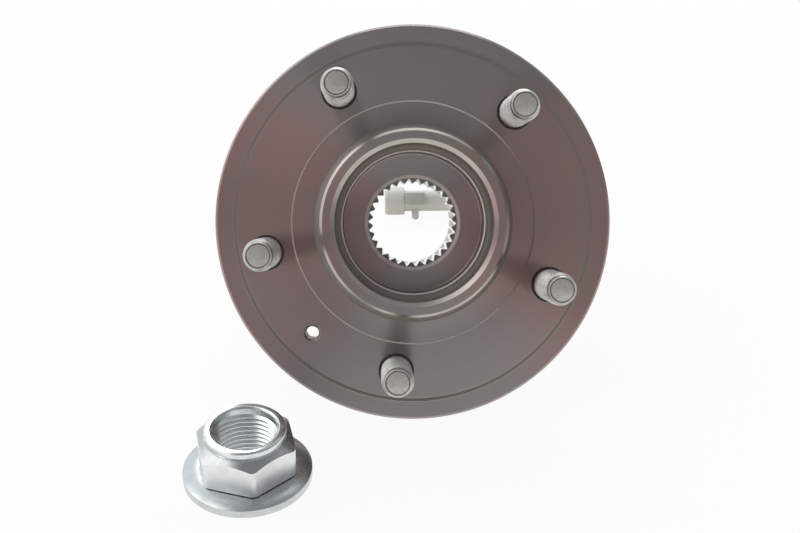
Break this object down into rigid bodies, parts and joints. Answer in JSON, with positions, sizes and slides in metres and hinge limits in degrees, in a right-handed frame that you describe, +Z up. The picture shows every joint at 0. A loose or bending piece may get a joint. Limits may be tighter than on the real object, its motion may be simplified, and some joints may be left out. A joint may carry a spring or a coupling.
{
  "type": "wheel hub bearing",
  "caption": "Flanged wheel hub on sealed twin-row ball bearings with a splined bore, wheel studs, a speed sensor on a lead, and a separate axle nut.",
  "frame": {"origin": "centre of the wheel face, where the hub axis crosses the plane that the brake disc seats on", "axes": "+Z up with the unit lying on its flange rim and on the lower edge of its knuckle flange, +X to the right seen from the wheel side, +Y away from the wheel side; the hub axis lies in the YZ plane and points outboard along 0, -0.870, 0.493"},
  "size_m": [0.1623, 0.2882, 0.1376],
  "materials": {
    "machined_steel": "turned, oiled, dull grey-brown",
    "ring_steel": "turned and ground",
    "bearing_steel": "ground",
    "ball_steel": "polished",
    "sintered_iron": "sintered, dull",
    "sheet_steel": "cold rolled",
    "plated_stud": "zinc plated, satin",
    "zinc_plate": "bright zinc plate",
    "plated_screw": "zinc plated",
    "brass": "turned",
    "pin_metal": "tinned",
    "seal_rubber": "moulded nitrile",
    "lead_rubber": "extruded jacket",
    "boot_rubber": "moulded, grey",
    "cage_plastic": "glass-filled nylon",
    "sensor_plastic": "moulded",
    "connector_plastic": "moulded, pale grey",
    "lock_plastic": "moulded, grey"
  },
  "bodies": {
    "outer": {"outer_ring": "ring_steel", "outboard_seal_case": "sheet_steel", "outboard_seal_lip": "seal_rubber", "inboard_seal_case": "sheet_steel", "inboard_seal_lip": "seal_rubber", "sensor_body": "sensor_plastic", "sensor_bush": "brass", "sensor_screw": "plated_screw", "sensor_o_ring": "seal_rubber", "sensor_strain_relief": "lead_rubber", "sensor_lead": "lead_rubber", "connector_shell": "connector_plastic", "connector_lock": "lock_plastic", "connector_pins": "pin_metal", "connector_boot": "boot_rubber"},
    "hub": {"wheel_hub": "machined_steel", "wheel_stud_1": "plated_stud", "wheel_stud_2": "plated_stud", "wheel_stud_3": "plated_stud", "wheel_stud_4": "plated_stud", "wheel_stud_5": "plated_stud", "inner_ring": "bearing_steel", "tone_ring": "sintered_iron", "inboard_slinger": "sheet_steel"},
    "outboard_row": {"outboard_cage": "cage_plastic", "outboard_balls": "ball_steel"},
    "inboard_row": {"inboard_cage": "cage_plastic", "inboard_balls": "ball_steel"},
    "washer": {"nut_washer": "zinc_plate"},
    "nut": {"axle_nut": "zinc_plate"}
  },
  "joints": [
    {"name": "hub_spin", "type": "hinge", "parent": "outer", "child": "hub", "pos_m": [0, 0, 0], "axis": [0, -0.8701, 0.493], "continuous": true},
    {"name": "outboard_row_spin", "type": "hinge", "parent": "outer", "child": "outboard_row", "pos_m": [0, 0, 0], "axis": [0, -0.8701, 0.493], "continuous": true},
    {"name": "inboard_row_spin", "type": "hinge", "parent": "outer", "child": "inboard_row", "pos_m": [0, 0, 0], "axis": [0, -0.8701, 0.493], "continuous": true},
    {"name": "nut_lift", "type": "slide", "parent": "outer", "child": "washer", "axis": [0, 0, 1], "range_m": [0, 0.024]},
    {"name": "nut_spin", "type": "hinge", "parent": "washer", "child": "nut", "pos_m": [-0.0626, -0.0618, 0], "axis": [0, 0, 1], "continuous": true}
  ],
  "couplings": [
    {"joint": "outboard_row_spin", "follows": "hub_spin", "ratio": 0.4161},
    {"joint": "inboard_row_spin", "follows": "hub_spin", "ratio": 0.4161}
  ]
}
